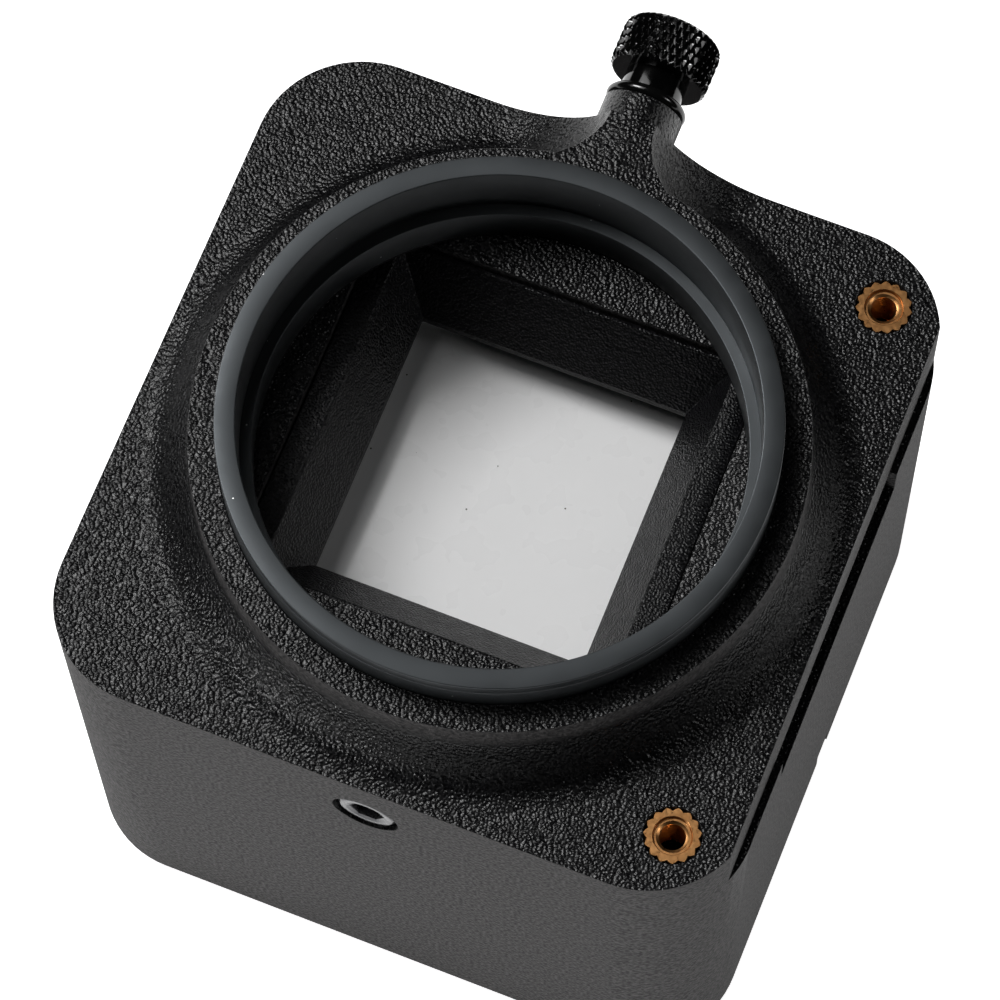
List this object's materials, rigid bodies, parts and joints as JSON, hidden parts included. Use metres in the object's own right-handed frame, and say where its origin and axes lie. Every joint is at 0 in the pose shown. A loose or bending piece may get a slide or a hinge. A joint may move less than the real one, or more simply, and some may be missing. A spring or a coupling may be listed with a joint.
{
  "type": "film copying adapter box",
  "caption": "Square printed box with a clamped round lens ring on top, a square film window over an opal plate, a film slot through its sides and a light inlet at the base.",
  "frame": {"origin": "on the optical axis, in the plane of the base rim", "axes": "+Z along the optical axis towards the lens, +Y towards the clamping thumbscrew, +X towards the wall beside the two accessory inserts"},
  "size_m": [0.091, 0.1055, 0.0892],
  "materials": {
    "printed_nylon": "dyed black powder-printed nylon, fine leathery grain",
    "anodised_ring": "matt black anodised aluminium",
    "brass_inserts": "turned and knurled brass",
    "opal_acrylic": "satin opal acrylic",
    "blackened_steel": "black oxide steel",
    "anodised_knob": "gloss black anodised aluminium",
    "o_ring_rubber": "glossy nitrile rubber",
    "seal_felt": "black pressed felt",
    "pad_nylon": "natural nylon",
    "tunnel_styrene": "matt white polystyrene sheet",
    "zinc_screws": "bright zinc-plated steel"
  },
  "bodies": {
    "root": {"housing": "printed_nylon", "light_seal": "seal_felt", "clamp_insert": "brass_inserts", "grub_insert": "blackened_steel", "gate_mask": "printed_nylon", "film_guide_front": "printed_nylon", "film_guide_rear": "printed_nylon", "opal_diffuser": "opal_acrylic", "diffuser_carrier": "printed_nylon", "gate_screws": "zinc_screws", "gate_inserts": "brass_inserts", "light_tunnel": "tunnel_styrene", "base_frame": "printed_nylon", "base_screws": "zinc_screws", "base_inserts": "brass_inserts", "accessory_inserts": "brass_inserts"},
    "sleeve": {"lens_sleeve": "anodised_ring"},
    "adapter": {"adapter_ring": "anodised_ring"},
    "clamp_pad": {"clamp_tip": "pad_nylon"},
    "thumbscrew": {"clamp_screw": "anodised_knob", "clamp_head": "anodised_knob", "clamp_o_ring": "o_ring_rubber"},
    "lock_pad": {"grub_pad": "pad_nylon"},
    "lock_screw": {"grub_screw": "blackened_steel"}
  },
  "joints": [
    {"name": "ring_lift", "type": "slide", "parent": "root", "child": "sleeve", "axis": [0, 0, 1], "range_m": [0, 0.012]},
    {"name": "ring_turn", "type": "hinge", "parent": "sleeve", "child": "adapter", "pos_m": [0, 0, 0.08468], "axis": [0, 0, 1], "continuous": true},
    {"name": "clamp_advance", "type": "slide", "parent": "root", "child": "clamp_pad", "axis": [0, 1, 0], "range_m": [0, 0.0024]},
    {"name": "clamp_turn", "type": "hinge", "parent": "clamp_pad", "child": "thumbscrew", "pos_m": [0, 0.052, 0.0785], "axis": [0, 1, 0], "range_deg": [0, 1080]},
    {"name": "lock_advance", "type": "slide", "parent": "root", "child": "lock_pad", "axis": [0, -1, 0], "range_m": [0, 0.00187]},
    {"name": "lock_turn", "type": "hinge", "parent": "lock_pad", "child": "lock_screw", "pos_m": [0, -0.042, 0.0631], "axis": [0, -1, 0], "range_deg": [0, 540]}
  ],
  "couplings": [
    {"joint": "clamp_turn", "follows": "clamp_advance", "rad_per_m": 7854},
    {"joint": "lock_turn", "follows": "lock_advance", "rad_per_m": 5026.5}
  ]
}
